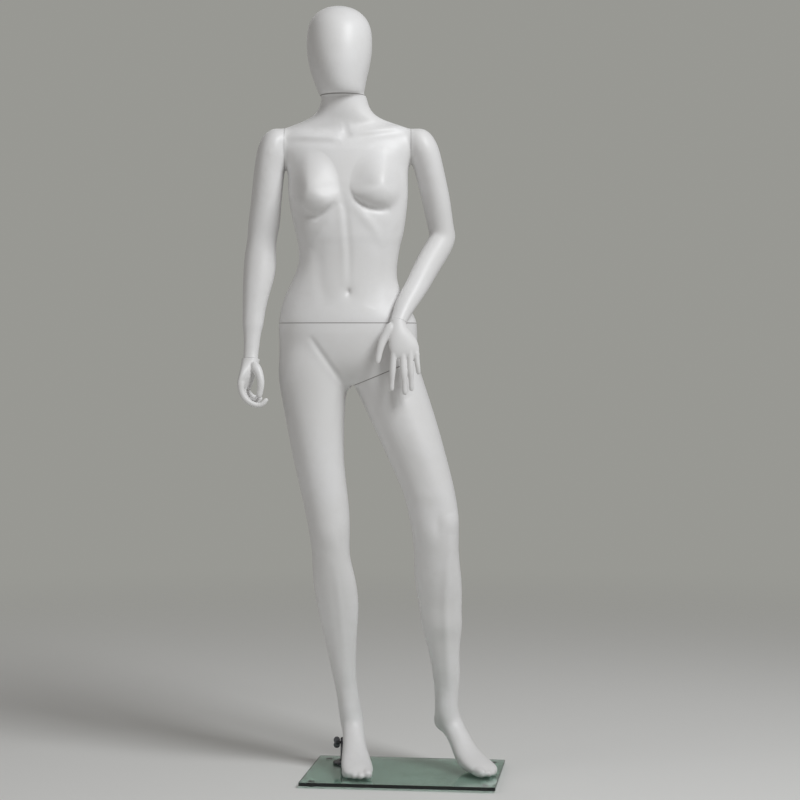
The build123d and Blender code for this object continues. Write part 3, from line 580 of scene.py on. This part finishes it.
def bodyForms():
    forms = []
    # collar bones with the hollows above and below them, and the notch between
    for name in ("rightCollarBone", "leftCollarBone"):
        forms.append(ridge(name, 7.5, 3.2, 0.3, -55))
        forms.append(ridge(name, 12, -3.6, 0.4, -55, (0, 20)))
        forms.append(ridge(name, 8, -1.4, 0.3, -55, (0, -14)))
    forms.append(swelling(front, seen(*frontForms["notch"], -50), (12, 16), -4.5))
    # folds under the bust, rib arch, midline, navel and groin
    forms.append(ridge("rightFold", 5.5, -4.4, 0.3, -90))
    forms.append(ridge("leftFold", 6, -2.6, 0.3, -90))
    forms += [ridge(name, 11, 2.2, 0.4) for name in ("rightRib", "leftRib")]
    forms += [ridge(name, 15, -2, 0.4) for name in ("rightFlank", "leftFlank")]
    forms.append(ridge("midline", 8, -2.0, 0.3))
    forms.append(ridge("midline", 9, 1.0, 0.3, shift=(-11, 0)))
    navel = seen(*frontForms["navel"], -85)
    forms.append(swelling(front, navel, (14, 16), -2.5))
    forms.append(swelling(front, navel, (4.2, 6.5), -6))
    forms.append(ridge("rightGroin", 6.5, -3.2, 0.25))
    # spine, shoulder blades, dimples and the cleft
    forms.append(figureRidge(back, figureLines["spine"], 13, -5.5, 0.12))
    for side in (-1, 1):
        forms.append(swelling(back, (backMiddle - 1 + side * 68, 1398), (38, 55), 5.5))
        forms.append(swelling(back, (backMiddle + side * 42, 1075), (10, 12), -2.5))
        muscle = [(backMiddle + side * 30, 1330), (backMiddle + side * 28, 1120)]
        forms.append(figureRidge(back, muscle, 17, 2.5, 0.3))
        fold = [(backMiddle + side * out, z) for out, z in ((22, 884), (52, 878), (88, 884))]
        forms.append(figureRidge(back, fold, 7, -4, 0.35))
    forms.append(figureRidge(back, figureLines["cleft"], 9, -12, 0.3))
    # knees and shins; the left leg is turned outwards
    forms.append(swelling(front, (-167, 560), (22, 28), 2.2))
    forms.append(swelling(front, (-146, 548), (9, 22), -1.6))
    forms.append(figureRidge(front, figureLines["rightShin"], 8, 1.2, 0.3))
    forms.append(swelling(front, (106, 590), (20, 27), 5.5))
    forms.append(swelling(front, (76, 580), (11, 26), -3))
    forms.append(ridge("leftThigh", 26, 4.5, 0.5))
    forms.append(ridge("leftShin", 10, 3.2, 0.3))
    for x, z in ((-169, 540), (71, 545)):
        forms.append(figureRidge(back, [(x - 20, z), (x + 20, z)], 8, -2.2, 0.3))
    return forms


def sculptFigure(whole):
    places = placesOf(whole)
    normals = normalsOf(whole)
    for form in bodyForms():
        if "path" in form:
            line(places, normals, form["side"], form["path"], form["width"], form["rise"], form["fade"])
        else:
            bump(places, normals, form["side"], form["centre"], form["radii"], form["rise"])
    putBack(whole, places)
    smoothed(whole, bodyShape["skinPasses"], None, False)


# Cuts: the waist's is an oval that passes behind the left wrist, the shoulders' are boxes, the others round.
cuts = {
    "waistMiddle": (-129.5, 10.5, 1037),
    "waistRadii": (170, 109),
    "shoulderLow": (-62, 1310),
    "shoulderHigh": (78, 1500),
    "neckRadius": 95,
    "wristRadius": 25,
    "handRadius": 34,
    "hipSlab": (260, 400),
    "crotchLow": (-122.4, -250, 600),
    "crotchHigh": (-112.4, 250, 894.9),
}


def sawAcross(whole, names):
    kerf = figure["kerf"]
    for name in names:
        x = seams[name]["point"][0]
        if name == "waist":
            deselectAll()
            bpy.ops.mesh.primitive_cylinder_add(vertices=64, radius=1, depth=1)
            cutter = bpy.context.object
            oval = Matrix.Diagonal((*cuts["waistRadii"], kerf, 1))
            cutter.data.transform(figureMatrix @ (Matrix.Translation(cuts["waistMiddle"]) @ oval))
        elif name.endswith("Shoulder"):
            low = (x - kerf / 2, *cuts["shoulderLow"])
            high = (x + kerf / 2, *cuts["shoulderHigh"])
            cutter = boxBetween(low, high, name)
        else:
            radius = cuts["neckRadius"] if name == "neck" else cuts["wristRadius"]
            cutter = slabAt(seams[name], radius, name)
        cutter.name = name + "Kerf"
        cutAway(whole, cutter)


def pocketAt(name, pieceName):
    seam = seams[name]
    return cylinderAt(seam, seam["plate"] + figure["pocketSpare"], figure["pocketHalf"], pieceName)


def pocketsFor(whole, names):
    cutAway(whole, joined([pocketAt(name, name + "Pocket") for name in names], "fittingPockets"))


def sawHip(whole):
    # the leg parts along a slope from the crotch and along an upright gap beside it
    point = Vector(seams["hip"]["point"])
    way = Vector(seams["hip"]["way"])
    deselectAll()
    bpy.ops.mesh.primitive_cube_add(size=1)
    slope = bpy.context.object
    slope.name = "hipKerf"
    run = Vector((-way.z, 0, way.x))
    turn = Matrix(((run.x, 0, -way.x, point.x), (0, 1, 0, 0), (run.z, 0, -way.z, point.z), (0, 0, 0, 1)))
    start = (cuts["crotchLow"][0] - point.x) / run.x
    length, depth = cuts["hipSlab"]
    slab = Matrix.Diagonal((length, depth, figure["kerf"], 1))
    slope.data.transform(figureMatrix @ turn @ Matrix.Translation((start + length / 2, 0, 0)) @ slab)
    cutAway(whole, slope)
    cutAway(whole, boxBetween(cuts["crotchLow"], cuts["crotchHigh"], "crotchGap"))


def sections(whole, rules):
    # parts what the cuts left loose, and names each part by where it reaches
    found = {}
    for piece in looseParts(whole):
        places = placesOf(piece)
        low = places.min(0)
        high = places.max(0)
        name = None
        for label, test in rules.items():
            if len(places) > figure["leastPoints"] and test(low, high):
                name = label
        print("section", name, len(places), [round(v) for v in low], [round(v) for v in high])
        if name is None or name in found:
            bpy.data.objects.remove(piece)
        else:
            piece.name = name
            piece.data.name = name
            found[name] = piece
    return found


# Which section a loose part is, by its lowest and highest corner.
figureRules = {
    "headShell": lambda low, high: low[2] > 1540,
    "torsoShell": lambda low, high: 1020 < low[2] < 1060 and high[2] > 1540,
    "rightArmShell": lambda low, high: high[2] > 1470 and high[0] < -270,
    "lowerBodyShell": lambda low, high: 1020 < high[2] < 1040 and low[2] < 300,
    "leftLegShell": lambda low, high: 850 < high[2] < 1020 and low[2] < 300,
}
leftArmRules = {"leftArmShell": lambda low, high: high[2] > 1470 and low[0] > -40 and low[2] < 1100}


# ---- hands, from their own finer blank

handShape = {"voxel": 0.0013, "passes": 8, "forearmReach": 45, "plugSpare": 1}


def handShell(side, name):
    hand = nodeCopy(side + "_hand", name)
    arm = nodeCopy(side + "_arm", side + "ArmEnd")
    seam = seams[side + "Wrist"]
    # only the last stretch of the forearm is kept beside the hand
    local = seamMatrix(seam)
    way = (local.to_3x3() @ Vector((0, 0, 1))).normalized()
    keepAhead(arm, local.translation - way * (handShape["forearmReach"] * 0.001), way)
    plug = cylinderAt(seam, seam["plate"] + handShape["plugSpare"], figure["plugHalf"], side + "WristPlug")
    whole = joined([hand, arm, plug], name)
    remesh(whole, handShape["voxel"])
    smoothed(whole, handShape["passes"])
    cutAway(whole, slabAt(seam, cuts["handRadius"], side + "HandKerf"))
    cutAway(whole, pocketAt(side + "Wrist", side + "HandPocket"))
    parts = looseParts(whole)
    best = None
    for piece in parts:
        places = placesOf(piece)
        ahead = (places.mean(0) - np.array(seam["point"])) @ np.array(seam["way"])
        if ahead > 0 and (best is None or len(places) > len(best.data.vertices)):
            best = piece
    for piece in parts:
        if piece is not best:
            bpy.data.objects.remove(piece)
    best.name = name
    best.data.name = name
    print(name, len(best.data.polygons), "faces")
    return best


# ---- finishes

def effectGroup(name, inputs, outputs):
    tree = bpy.data.node_groups.new(name, "ShaderNodeTree")
    for label, kind, value in inputs:
        socket = tree.interface.new_socket(label, in_out="INPUT", socket_type=kind)
        if value is not None:
            socket.default_value = value
    for label, kind in outputs:
        tree.interface.new_socket(label, in_out="OUTPUT", socket_type=kind)
    start = tree.nodes.new("NodeGroupInput")
    end = tree.nodes.new("NodeGroupOutput")
    return tree, start, end


def node(tree, kind, **values):
    made = tree.nodes.new(kind)
    for name, value in values.items():
        if name.startswith("in_"):
            key = name[3:]
            made.inputs[int(key) if key.isdigit() else key].default_value = value
        else:
            setattr(made, name, value)
    return made


def blend(tree, factor, first, second):
    mix = tree.nodes.new("ShaderNodeMix")
    mix.data_type = "RGBA"
    for socket, value in ((mix.inputs[0], factor), (mix.inputs[6], first), (mix.inputs[7], second)):
        if isinstance(value, bpy.types.NodeSocket):
            tree.links.new(value, socket)
        else:
            socket.default_value = value
    return mix.outputs[2]


def rangeOf(tree, value, low, high, toLow, toHigh):
    made = tree.nodes.new("ShaderNodeMapRange")
    made.interpolation_type = "SMOOTHSTEP"
    tree.links.new(value, made.inputs[0])
    for place, number in zip((1, 2, 3, 4), (low, high, toLow, toHigh)):
        if isinstance(number, bpy.types.NodeSocket):
            tree.links.new(number, made.inputs[place])
        else:
            made.inputs[place].default_value = number
    return made.outputs[0]


def paintedSeamShadeGroup():
    # painted shade along a seam, standing in for the shade in the saw gap: 1 on a seam, 0 away from it
    tree, start, end = effectGroup(
        "paintedSeamShade",
        [("Vector", "NodeSocketVector", None), ("Point", "NodeSocketVector", None),
         ("Way", "NodeSocketVector", None), ("Reach", "NodeSocketFloat", 0.1),
         ("Width", "NodeSocketFloat", 0.001), ("Darkness", "NodeSocketFloat", 1.0)],
        [("Mask", "NodeSocketFloat")],
    )
    away = node(tree, "ShaderNodeVectorMath", operation="SUBTRACT")
    tree.links.new(start.outputs["Vector"], away.inputs[0])
    tree.links.new(start.outputs["Point"], away.inputs[1])
    across = node(tree, "ShaderNodeVectorMath", operation="DOT_PRODUCT")
    tree.links.new(away.outputs[0], across.inputs[0])
    tree.links.new(start.outputs["Way"], across.inputs[1])
    gap = node(tree, "ShaderNodeMath", operation="ABSOLUTE")
    tree.links.new(across.outputs["Value"], gap.inputs[0])
    onSeam = rangeOf(tree, gap.outputs[0], 0.0, start.outputs["Width"], 1.0, 0.0)
    length = node(tree, "ShaderNodeVectorMath", operation="LENGTH")
    tree.links.new(away.outputs[0], length.inputs[0])
    within = node(tree, "ShaderNodeMath", operation="LESS_THAN")
    tree.links.new(length.outputs["Value"], within.inputs[0])
    tree.links.new(start.outputs["Reach"], within.inputs[1])
    both = node(tree, "ShaderNodeMath", operation="MULTIPLY")
    tree.links.new(onSeam, both.inputs[0])
    tree.links.new(within.outputs[0], both.inputs[1])
    scaled = node(tree, "ShaderNodeMath", operation="MULTIPLY")
    tree.links.new(both.outputs[0], scaled.inputs[0])
    tree.links.new(start.outputs["Darkness"], scaled.inputs[1])
    tree.links.new(scaled.outputs[0], end.inputs["Mask"])
    return tree


def coatTextureGroup():
    # broad unevenness and a fine surface grain, shared by paint, metal, rubber and plastic
    tree, start, end = effectGroup(
        "coatTexture",
        [("Vector", "NodeSocketVector", None), ("Colour", "NodeSocketColor", (0.8, 0.8, 0.8, 1)),
         ("Shade", "NodeSocketColor", (0.7, 0.7, 0.7, 1)), ("Patch Scale", "NodeSocketFloat", 8),
         ("Grain Scale", "NodeSocketFloat", 400), ("Low Roughness", "NodeSocketFloat", 0.3),
         ("High Roughness", "NodeSocketFloat", 0.4)],
        [("Colour", "NodeSocketColor"), ("Roughness", "NodeSocketFloat"), ("Height", "NodeSocketFloat")],
    )
    patches = node(tree, "ShaderNodeTexNoise", in_Detail=4.0, in_Roughness=0.55)
    grain = node(tree, "ShaderNodeTexNoise", in_Detail=2.0, in_Roughness=0.5)
    specks = node(tree, "ShaderNodeTexNoise", in_Detail=3.0, in_Roughness=0.6)
    for made in (patches, grain, specks):
        tree.links.new(start.outputs["Vector"], made.inputs["Vector"])
    tree.links.new(start.outputs["Patch Scale"], patches.inputs["Scale"])
    tree.links.new(start.outputs["Grain Scale"], grain.inputs["Scale"])
    finer = node(tree, "ShaderNodeMath", operation="MULTIPLY", in_1=6.0)
    tree.links.new(start.outputs["Patch Scale"], finer.inputs[0])
    tree.links.new(finer.outputs[0], specks.inputs["Scale"])
    patchShare = rangeOf(tree, patches.outputs["Fac"], 0.36, 0.64, 0.0, 1.0)
    speckShare = rangeOf(tree, specks.outputs["Fac"], 0.45, 0.75, 0.0, 0.5)
    share = node(tree, "ShaderNodeMath", operation="ADD", use_clamp=True)
    tree.links.new(patchShare, share.inputs[0])
    tree.links.new(speckShare, share.inputs[1])
    colour = blend(tree, share.outputs[0], start.outputs["Colour"], start.outputs["Shade"])
    tree.links.new(colour, end.inputs["Colour"])
    least, most = start.outputs["Low Roughness"], start.outputs["High Roughness"]
    roughness = rangeOf(tree, patches.outputs["Fac"], 0.3, 0.7, least, most)
    tree.links.new(roughness, end.inputs["Roughness"])
    tree.links.new(grain.outputs["Fac"], end.inputs["Height"])
    return tree


paintedSeamShade = paintedSeamShadeGroup()
coatTexture = coatTextureGroup()

finishes = {
    "whitePaint": {
        "colour": (0.815, 0.81, 0.81, 1), "shade": (0.785, 0.778, 0.772, 1),
        "patch": 7, "grain": 420, "low": 0.40, "high": 0.52, "bump": 0.06, "reach": 0.0006,
    },
    "chrome": {
        "colour": (0.13, 0.13, 0.14, 1), "shade": (0.09, 0.09, 0.098, 1),
        "patch": 45, "grain": 1400, "low": 0.16, "high": 0.3, "bump": 0.05, "reach": 0.0002, "metallic": 1.0,
    },
    "steel": {
        "colour": (0.55, 0.55, 0.56, 1), "shade": (0.42, 0.42, 0.43, 1),
        "patch": 60, "grain": 1800, "low": 0.28, "high": 0.42, "bump": 0.08, "reach": 0.0002, "metallic": 1.0,
    },
    "fixings": {
        "colour": (0.62, 0.6, 0.55, 1), "shade": (0.45, 0.43, 0.38, 1),
        "patch": 120, "grain": 2400, "low": 0.3, "high": 0.45, "bump": 0.06, "reach": 0.0001, "metallic": 1.0,
    },
    "rubber": {
        "colour": (0.03, 0.03, 0.032, 1), "shade": (0.045, 0.045, 0.047, 1),
        "patch": 90, "grain": 1600, "low": 0.6, "high": 0.78, "bump": 0.15, "reach": 0.0003,
    },
    "clearPads": {
        "colour": (0.62, 0.66, 0.64, 1), "shade": (0.5, 0.54, 0.52, 1),
        "patch": 80, "grain": 900, "low": 0.35, "high": 0.5, "bump": 0.1, "reach": 0.0002,
    },
}


def startMaterial(name):
    material = bpy.data.materials.new(name)
    material.use_nodes = True
    tree = material.node_tree
    shader = tree.nodes["Principled BSDF"]
    coords = tree.nodes.new("ShaderNodeTexCoord")
    return material, tree, shader, coords


def coatedMaterial(name, seamNames=(), label=None):
    values = finishes[name]
    material, tree, shader, coords = startMaterial(label or name)
    coat = tree.nodes.new("ShaderNodeGroup")
    coat.node_tree = coatTexture
    for socket, key in (("Colour", "colour"), ("Shade", "shade"), ("Patch Scale", "patch"),
                        ("Grain Scale", "grain"), ("Low Roughness", "low"), ("High Roughness", "high")):
        coat.inputs[socket].default_value = values[key]
    tree.links.new(coords.outputs["Object"], coat.inputs["Vector"])
    colour = coat.outputs["Colour"]
    # painted shade darkens the paint along the listed seams
    if seamNames:
        total = None
        for seamName in seamNames:
            seam = seams[seamName]
            made = tree.nodes.new("ShaderNodeGroup")
            made.node_tree = paintedSeamShade
            spot = figureMatrix @ Vector(seam.get("shadeAt", seam["point"]))
            made.inputs["Darkness"].default_value = seam["dark"]
            way = (figureMatrix.to_3x3() @ Vector(seam["way"])).normalized()
            made.inputs["Point"].default_value = spot
            made.inputs["Way"].default_value = way
            made.inputs["Reach"].default_value = seam["reach"] * 0.001
            made.inputs["Width"].default_value = gapShadePaint["width"]
            tree.links.new(coords.outputs["Object"], made.inputs["Vector"])
            if total is None:
                total = made.outputs["Mask"]
            else:
                larger = node(tree, "ShaderNodeMath", operation="MAXIMUM")
                tree.links.new(total, larger.inputs[0])
                tree.links.new(made.outputs["Mask"], larger.inputs[1])
                total = larger.outputs[0]
        colour = blend(tree, total, colour, gapShadePaint["colour"])
    tree.links.new(colour, shader.inputs["Base Color"])
    tree.links.new(coat.outputs["Roughness"], shader.inputs["Roughness"])
    relief = node(tree, "ShaderNodeBump", in_Strength=values["bump"], in_Distance=values["reach"])
    tree.links.new(coat.outputs["Height"], relief.inputs["Height"])
    tree.links.new(relief.outputs["Normal"], shader.inputs["Normal"])
    shader.inputs["Metallic"].default_value = values.get("metallic", 0.0)
    return material


glassLook = {
    "top": (0.70, 0.88, 0.80, 1), "edge": (0.01, 0.07, 0.05, 1), "tilt": (0.35, 0.85),
    "smearScale": 14.0, "smearDetail": 5.0, "smearRoughness": 0.6, "smearShare": (0.4, 0.7),
    "clearRoughness": 0.02, "smearedRoughness": 0.09, "ior": 1.5,
}


def glassMaterial():
    material, tree, shader, coords = startMaterial("baseGlass")
    facing = node(tree, "ShaderNodeNewGeometry")
    up = node(tree, "ShaderNodeSeparateXYZ")
    tree.links.new(facing.outputs["Normal"], up.inputs[0])
    flat = node(tree, "ShaderNodeMath", operation="ABSOLUTE")
    tree.links.new(up.outputs["Z"], flat.inputs[0])
    share = rangeOf(tree, flat.outputs[0], *glassLook["tilt"], 1.0, 0.0)
    smear = node(tree, "ShaderNodeTexNoise")
    for socket in ("Scale", "Detail", "Roughness"):
        smear.inputs[socket].default_value = glassLook["smear" + socket]
    tree.links.new(coords.outputs["Object"], smear.inputs["Vector"])
    clear, smeared = glassLook["clearRoughness"], glassLook["smearedRoughness"]
    film = rangeOf(tree, smear.outputs["Fac"], *glassLook["smearShare"], clear, smeared)
    tint = blend(tree, share, glassLook["top"], glassLook["edge"])
    tree.links.new(tint, shader.inputs["Base Color"])
    tree.links.new(film, shader.inputs["Roughness"])
    shader.inputs["Transmission Weight"].default_value = 1.0
    shader.inputs["IOR"].default_value = glassLook["ior"]
    return material


materials = {name: coatedMaterial(name) for name in finishes if name != "whitePaint"}
materials["glass"] = glassMaterial()
print("finishes made:", len(materials))


def finishWith(piece, name):
    piece.data.materials.clear()
    piece.data.materials.append(materials[name])


def finishNode(nodeName, name):
    # the node keeps its mesh and gets the finish in its own slots
    target = nodes[nodeName]
    if len(target.material_slots) == 0:
        target.data.materials.append(materials[name])
    for place in target.material_slots:
        place.material = materials[name]


# ---- build

deselectAll()
wholeFigure = blankFigure()
print("blank:", len(wholeFigure.data.polygons), "faces")
relaxFigure(wholeFigure)
print("relaxed")
sculptFigure(wholeFigure)
print("sculpted")
sawAcross(wholeFigure, ("waist", "neck", "rightShoulder", "leftShoulder", "rightWrist"))
pocketsFor(wholeFigure, ("waist", "neck", "rightShoulder", "leftShoulder", "rightWrist", "hip"))
sawHip(wholeFigure)
shells = sections(wholeFigure, figureRules)
wholeLeftArm = blankLeftArm()
relaxFigure(wholeLeftArm)
sawAcross(wholeLeftArm, ("leftShoulder", "leftWrist"))
pocketsFor(wholeLeftArm, ("leftShoulder", "leftWrist"))
shells.update(sections(wholeLeftArm, leftArmRules))
shells["rightHandShell"] = handShell("right", "rightHandShell")
shells["leftHandShell"] = handShell("left", "leftHandShell")

# piece: the node it stands for, the body it rides on and the seams where painted shade darkens its paint
shellPlaces = {
    "headShell": ("head", "head", ["neck"]),
    "torsoShell": ("upper_torso", "torso", ["neck", "waist", "rightShoulder", "leftShoulder"]),
    "rightArmShell": ("right_arm", "right_arm", ["rightShoulder", "rightWrist"]),
    "leftArmShell": ("left_arm", "left_arm", ["leftShoulder", "leftWrist"]),
    "lowerBodyShell": ("lower_body", "lower_body", ["waist", "hip"]),
    "leftLegShell": ("left_leg", "left_leg", ["hip"]),
    "rightHandShell": ("right_hand", "right_hand", ["rightWrist"]),
    "leftHandShell": ("left_hand", "left_hand", ["leftWrist"]),
}
for name, piece in shells.items():
    cadNode, body, ownSeams = shellPlaces[name]
    pick(piece)
    bpy.ops.object.shade_smooth_by_angle(angle=math.radians(figure["smoothAngle"]))
    paint = name.replace("Shell", "Paint")
    materials[paint] = coatedMaterial("whitePaint", ownSeams, paint)
    finishWith(piece, paint)
    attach(piece, body)
    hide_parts(cadNode)
print("sections placed:", sorted(shells))

nodeFinishes = {
    "glass_base": "glass", "base_pads": "clearPads", "upper_gasket": "rubber", "lower_gasket": "rubber",
    "clamp_washer": "steel", "flange_bolt": "steel", "base_flange": "chrome", "foot_rod": "chrome",
    "wing_screw": "chrome", "ankle_tube": "steel",
}
replaced = {place[0] for place in shellPlaces.values()}
for nodeName in nodes:
    if nodeName in replaced:
        continue
    if nodeName.endswith("_plate"):
        finishNode(nodeName, "steel")
    elif nodeName.endswith("_screws"):
        finishNode(nodeName, "fixings")
    else:
        finishNode(nodeName, nodeFinishes[nodeName])

# ---- floor, light and camera

studio = {
    "floorColour": (0.80, 0.80, 0.785, 1), "floorRadius": 14, "floorFade": (1.2, 4.5), "floorDrop": -0.0002,
    "worldLight": 0.19, "worldColour": (1.0, 0.97, 0.925, 1), "backdrop": (0.315, 0.315, 0.293, 1),
}
# Lamps in the figure's frame, metres: place, what it looks at, power and width.
lamps = {
    "keyLamp": {
        "place": (2.0, -2.4, 3.8), "target": (-0.1, 0, 0.95), "watts": 122, "size": 1.6,
        "colour": (0.965, 0.982, 1.0),
    },
    "fillLamp": {"place": (-3.2, -1.7, 1.9), "target": (-0.1, 0, 0.9), "watts": 12, "size": 2.2},
    "backLamp": {"place": (-1.2, 3.0, 3.0), "target": (-0.1, 0, 1.1), "watts": 7, "size": 1.8},
}
studioTurn = Matrix.Rotation(math.radians(figure["turnDegrees"]), 3, "Z")


def aimedLamp(name):
    values = lamps[name]
    deselectAll()
    spot = studioTurn @ Vector(values["place"])
    bpy.ops.object.light_add(type="AREA", location=spot)
    lamp = bpy.context.object
    lamp.name = name
    lamp.data.energy = values["watts"]
    lamp.data.size = values["size"]
    lamp.data.color = values.get("colour", (1, 1, 1))
    lamp.rotation_euler = (studioTurn @ Vector(values["target"]) - spot).to_track_quat("-Z", "Y").to_euler()


def makeStudio():
    deselectAll()
    radius = studio["floorRadius"]
    drop = (0, 0, studio["floorDrop"])
    bpy.ops.mesh.primitive_circle_add(vertices=96, radius=radius, fill_type="NGON", location=drop)
    floor = bpy.context.object
    floor.name = "studioFloor"
    floor.data.transform(floor.matrix_world)
    floor.matrix_world = Matrix.Identity(4)
    material, tree, shader, coords = startMaterial("studioFloor")
    shader.inputs["Base Color"].default_value = studio["floorColour"]
    shader.inputs["Roughness"].default_value = 0.9
    shader.inputs["Specular IOR Level"].default_value = 0.1
    away = node(tree, "ShaderNodeVectorMath", operation="LENGTH")
    tree.links.new(coords.outputs["Object"], away.inputs[0])
    share = rangeOf(tree, away.outputs["Value"], *studio["floorFade"], 1.0, 0.0)
    tree.links.new(share, shader.inputs["Alpha"])
    floor.data.materials.append(material)
    world = bpy.data.worlds.new("studioWorld")
    scene.world = world
    world.use_nodes = True
    tree = world.node_tree
    tree.nodes.clear()
    output = tree.nodes.new("ShaderNodeOutputWorld")
    lit = node(tree, "ShaderNodeBackground", in_Color=studio["worldColour"], in_Strength=studio["worldLight"])
    shown = node(tree, "ShaderNodeBackground", in_Color=studio["backdrop"], in_Strength=1.0)
    rays = tree.nodes.new("ShaderNodeLightPath")
    either = node(tree, "ShaderNodeMath", operation="MAXIMUM")
    tree.links.new(rays.outputs["Is Camera Ray"], either.inputs[0])
    tree.links.new(rays.outputs["Is Transmission Ray"], either.inputs[1])
    choice = tree.nodes.new("ShaderNodeMixShader")
    tree.links.new(either.outputs[0], choice.inputs[0])
    tree.links.new(lit.outputs[0], choice.inputs[1])
    tree.links.new(shown.outputs[0], choice.inputs[2])
    tree.links.new(choice.outputs[0], output.inputs[0])
    for name in lamps:
        aimedLamp(name)


def makeCamera():
    eye = Vector([value / 1000 for value in view["eye"]])
    level = (math.radians(90), 0, math.radians(figure["turnDegrees"]))
    bpy.ops.object.camera_add(location=studioTurn @ eye, rotation=level)
    camera = bpy.context.object
    camera.name = "frontCamera"
    camera.data.sensor_width = view["sensor"]
    camera.data.lens = view["sensor"] * view["scale"] / view["size"]
    camera.data.shift_y = view["shift"] / view["size"]
    camera.data.clip_end = 60
    scene.camera = camera


makeStudio()
makeCamera()
scene.view_settings.view_transform = "Standard"
print("studio ready")
